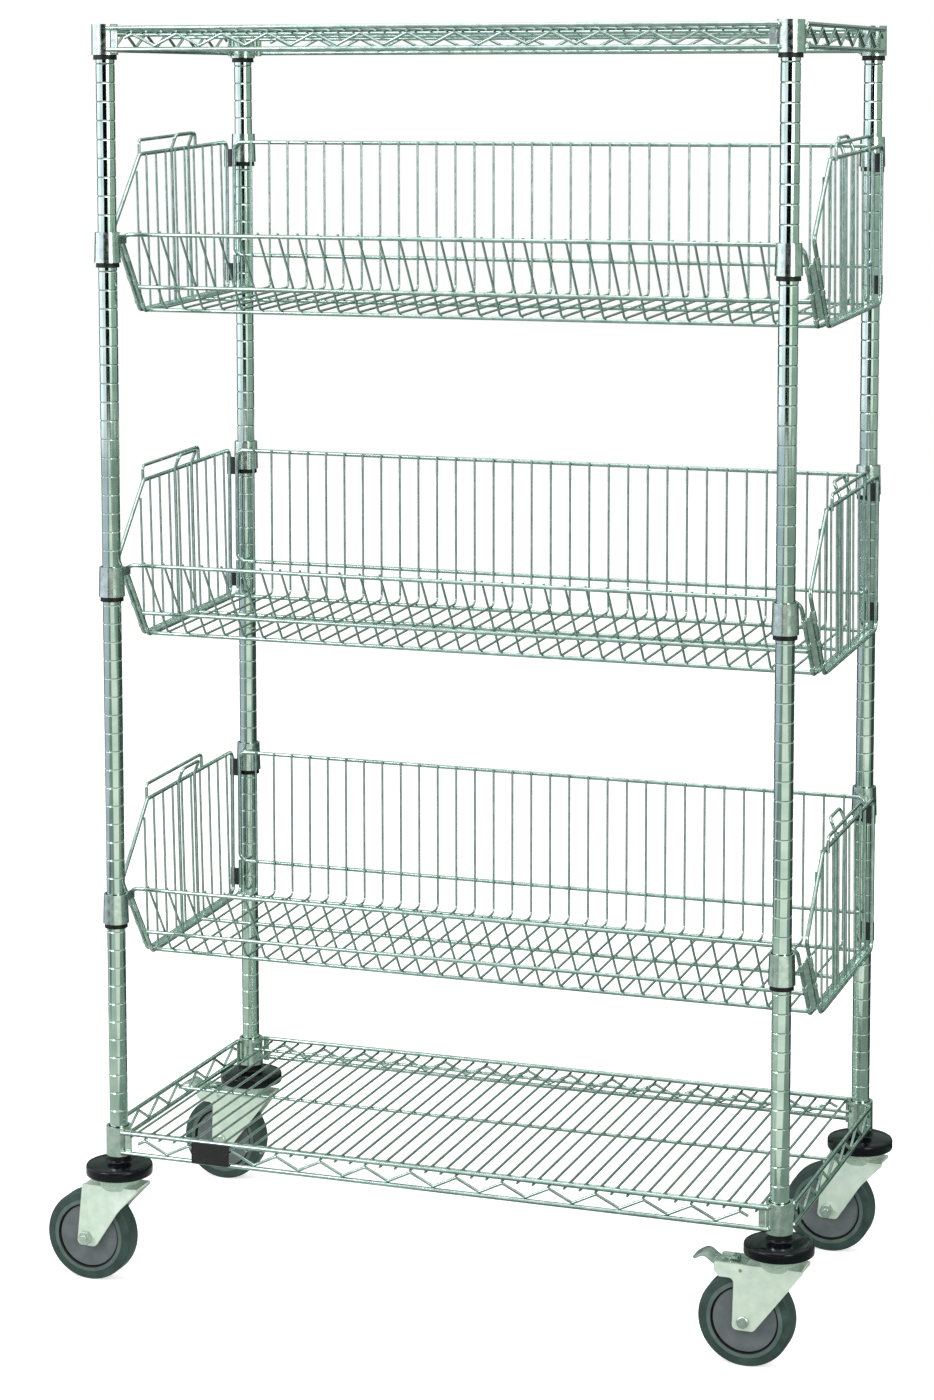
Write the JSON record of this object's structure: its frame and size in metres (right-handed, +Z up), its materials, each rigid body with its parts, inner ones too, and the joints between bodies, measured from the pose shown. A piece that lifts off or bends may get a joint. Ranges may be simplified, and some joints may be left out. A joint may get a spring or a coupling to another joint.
{
  "type": "mobile basket shelving unit",
  "caption": "Chrome wire shelving unit on swivel casters: grooved posts carry tilted open-front wire baskets between a top and a bottom wire shelf, with foot brakes on a diagonal pair.",
  "frame": {"origin": "on the floor midway between the four posts", "axes": "+Z up, +Y to the back, +X to the right seen from the open basket fronts"},
  "size_m": [1.1103, 0.549, 1.7475],
  "materials": {
    "post_chrome": "bright plated wire and tube",
    "wire_chrome": "bright plated wire and tube",
    "collar_chrome": "bright plated wire and tube",
    "sleeve_plastic": "black moulded plastic",
    "cap_plastic": "black moulded plastic",
    "bumper_plastic": "black bumper",
    "plate_black": "bare black plate",
    "strip_zinc": "pale zinc plate",
    "fork_zinc": "pale zinc plate",
    "axle_zinc": "pale zinc plate",
    "stem_steel": "pale zinc plate",
    "ball_steel": "hardened balls",
    "tyre_rubber": "grey cushion tyre",
    "hub_plastic": "dark grey moulded hub",
    "bush_steel": "pale zinc plate",
    "pedal_zinc": "pale zinc plate"
  },
  "bodies": {
    "frame": {"basket_joint_clips": "strip_zinc", "basket_joint_strips": "strip_zinc", "blank_name_plate": "plate_black", "bottom_shelf_collars": "collar_chrome", "bottom_shelf_deck": "wire_chrome", "bottom_shelf_rims": "wire_chrome", "bottom_shelf_trusses": "wire_chrome", "caster_bumpers": "bumper_plastic", "caster_stem_bushes": "sleeve_plastic", "caster_stems": "stem_steel", "lower_basket_collars": "collar_chrome", "lower_basket_left_side": "wire_chrome", "lower_basket_mat": "wire_chrome", "lower_basket_right_side": "wire_chrome", "lower_basket_rods": "wire_chrome", "middle_basket_collars": "collar_chrome", "middle_basket_left_side": "wire_chrome", "middle_basket_mat": "wire_chrome", "middle_basket_right_side": "wire_chrome", "middle_basket_rods": "wire_chrome", "post_back_left": "post_chrome", "post_back_right": "post_chrome", "post_caps": "cap_plastic", "post_front_left": "post_chrome", "post_front_right": "post_chrome", "split_sleeves": "sleeve_plastic", "swivel_balls": "ball_steel", "top_shelf_collars": "collar_chrome", "top_shelf_deck": "wire_chrome", "top_shelf_rims": "wire_chrome", "top_shelf_trusses": "wire_chrome", "upper_basket_collars": "collar_chrome", "upper_basket_left_side": "wire_chrome", "upper_basket_mat": "wire_chrome", "upper_basket_right_side": "wire_chrome", "upper_basket_rods": "wire_chrome"},
    "swivel_front_left": {"caster_fork_front_left": "fork_zinc", "caster_axle_front_left": "axle_zinc"},
    "wheel_front_left": {"caster_tyre_front_left": "tyre_rubber", "caster_hub_front_left": "hub_plastic", "caster_bush_front_left": "bush_steel"},
    "swivel_front_right": {"caster_fork_front_right": "fork_zinc", "caster_axle_front_right": "axle_zinc", "brake_pin_front_right": "axle_zinc"},
    "wheel_front_right": {"caster_tyre_front_right": "tyre_rubber", "caster_hub_front_right": "hub_plastic", "caster_bush_front_right": "bush_steel"},
    "brake_front_right": {"brake_pedal_front_right": "pedal_zinc"},
    "swivel_back_left": {"caster_fork_back_left": "fork_zinc", "caster_axle_back_left": "axle_zinc", "brake_pin_back_left": "axle_zinc"},
    "wheel_back_left": {"caster_tyre_back_left": "tyre_rubber", "caster_hub_back_left": "hub_plastic", "caster_bush_back_left": "bush_steel"},
    "brake_back_left": {"brake_pedal_back_left": "pedal_zinc"},
    "swivel_back_right": {"caster_fork_back_right": "fork_zinc", "caster_axle_back_right": "axle_zinc"},
    "wheel_back_right": {"caster_tyre_back_right": "tyre_rubber", "caster_hub_back_right": "hub_plastic", "caster_bush_back_right": "bush_steel"}
  },
  "joints": [
    {"name": "swivel_turn_front_left", "type": "hinge", "parent": "frame", "child": "swivel_front_left", "pos_m": [-0.475, -0.228, 0.149], "axis": [0, 0, 1], "continuous": true},
    {"name": "wheel_spin_front_left", "type": "hinge", "parent": "swivel_front_left", "child": "wheel_front_left", "pos_m": [-0.517, -0.228, 0.0635], "axis": [0, 1, 0], "continuous": true},
    {"name": "swivel_turn_front_right", "type": "hinge", "parent": "frame", "child": "swivel_front_right", "pos_m": [0.475, -0.228, 0.149], "axis": [0, 0, 1], "continuous": true},
    {"name": "wheel_spin_front_right", "type": "hinge", "parent": "swivel_front_right", "child": "wheel_front_right", "pos_m": [0.433, -0.228, 0.0635], "axis": [0, 1, 0], "continuous": true},
    {"name": "brake_press_front_right", "type": "hinge", "parent": "swivel_front_right", "child": "brake_front_right", "pos_m": [0.429, -0.228, 0.132], "axis": [0, -1, 0], "range_deg": [0, 10]},
    {"name": "swivel_turn_back_left", "type": "hinge", "parent": "frame", "child": "swivel_back_left", "pos_m": [-0.475, 0.228, 0.149], "axis": [0, 0, 1], "continuous": true},
    {"name": "wheel_spin_back_left", "type": "hinge", "parent": "swivel_back_left", "child": "wheel_back_left", "pos_m": [-0.517, 0.228, 0.0635], "axis": [0, 1, 0], "continuous": true},
    {"name": "brake_press_back_left", "type": "hinge", "parent": "swivel_back_left", "child": "brake_back_left", "pos_m": [-0.521, 0.228, 0.132], "axis": [0, -1, 0], "range_deg": [0, 10]},
    {"name": "swivel_turn_back_right", "type": "hinge", "parent": "frame", "child": "swivel_back_right", "pos_m": [0.475, 0.228, 0.149], "axis": [0, 0, 1], "continuous": true},
    {"name": "wheel_spin_back_right", "type": "hinge", "parent": "swivel_back_right", "child": "wheel_back_right", "pos_m": [0.433, 0.228, 0.0635], "axis": [0, 1, 0], "continuous": true}
  ]
}
